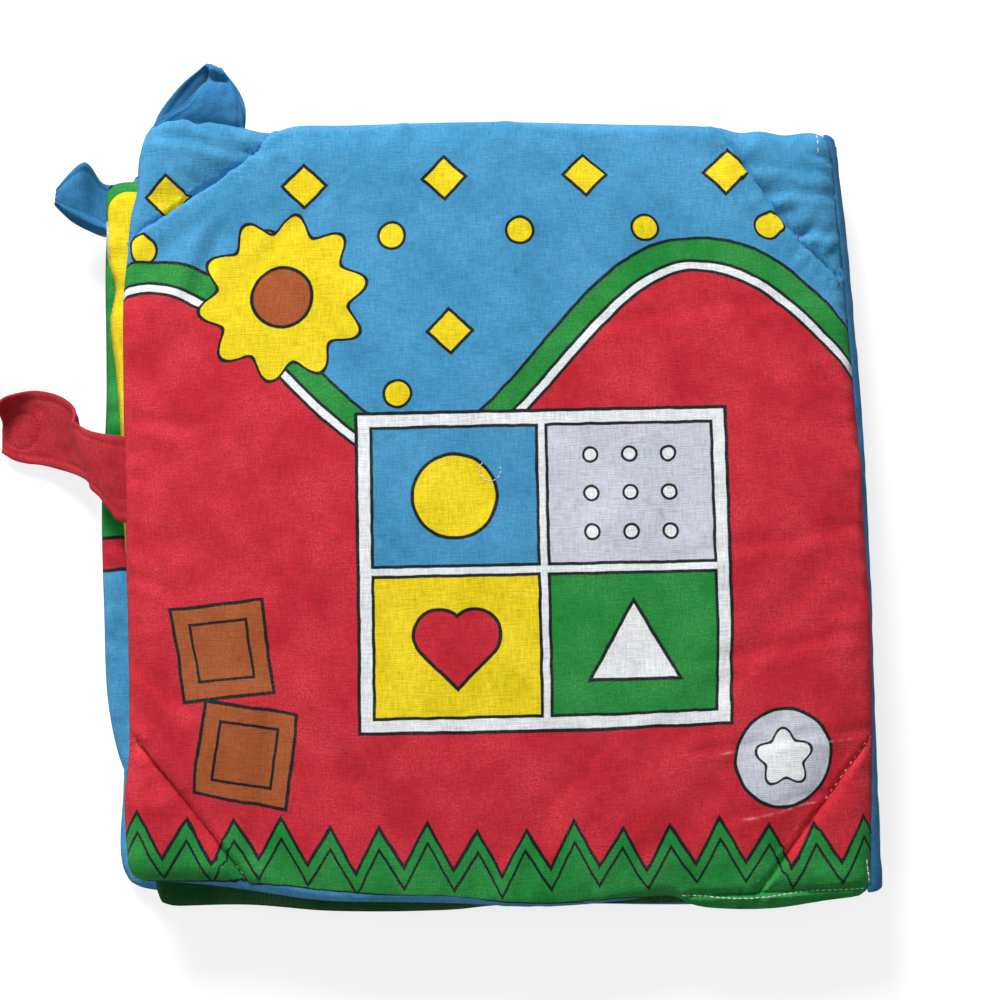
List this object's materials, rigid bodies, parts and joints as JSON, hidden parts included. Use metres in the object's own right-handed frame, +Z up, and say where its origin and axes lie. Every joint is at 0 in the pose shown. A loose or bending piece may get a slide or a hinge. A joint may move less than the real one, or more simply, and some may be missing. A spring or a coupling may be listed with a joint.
{
  "type": "cloth baby book",
  "caption": "Soft square cloth book with quilted covers, padded leaves sewn at the spine, cloth loops on its edges and a strap that fastens it shut.",
  "frame": {"origin": "middle of the front cover's flat resting face", "axes": "+X from the fore-edge to the spine, +Y along the spine towards the book's top edge, +Z up out of the back cover"},
  "size_m": [0.2855, 0.2785, 0.0296],
  "materials": {
    "cover_print": "matt printed plain-weave cotton over soft filling",
    "leaf_print": "matt printed plain-weave cotton over soft filling",
    "blue_cotton": "matt dyed plain-weave cotton",
    "red_cotton": "matt dyed plain-weave cotton",
    "fastening_tape": "matt hook-and-loop tape",
    "white_thread": "matt sewing thread"
  },
  "bodies": {
    "book_block": {"pages": "leaf_print", "spine_wrap": "blue_cotton", "side_loop": "blue_cotton"},
    "back_board": {"back_cover": "cover_print", "closure_strap": "red_cotton", "strap_hook_dot": "fastening_tape", "top_loop": "blue_cotton"},
    "front_board": {"front_cover": "cover_print", "cover_loop_dot": "fastening_tape"}
  },
  "joints": [
    {"name": "back_cover_hinge", "type": "hinge", "parent": "book_block", "child": "back_board", "pos_m": [0.1175, 0, 0.0243], "axis": [0, 1, 0], "range_deg": [0, 180]},
    {"name": "front_cover_hinge", "type": "hinge", "parent": "book_block", "child": "front_board", "pos_m": [0.1175, 0, 0.005], "axis": [0, -1, 0], "range_deg": [0, 180]}
  ]
}
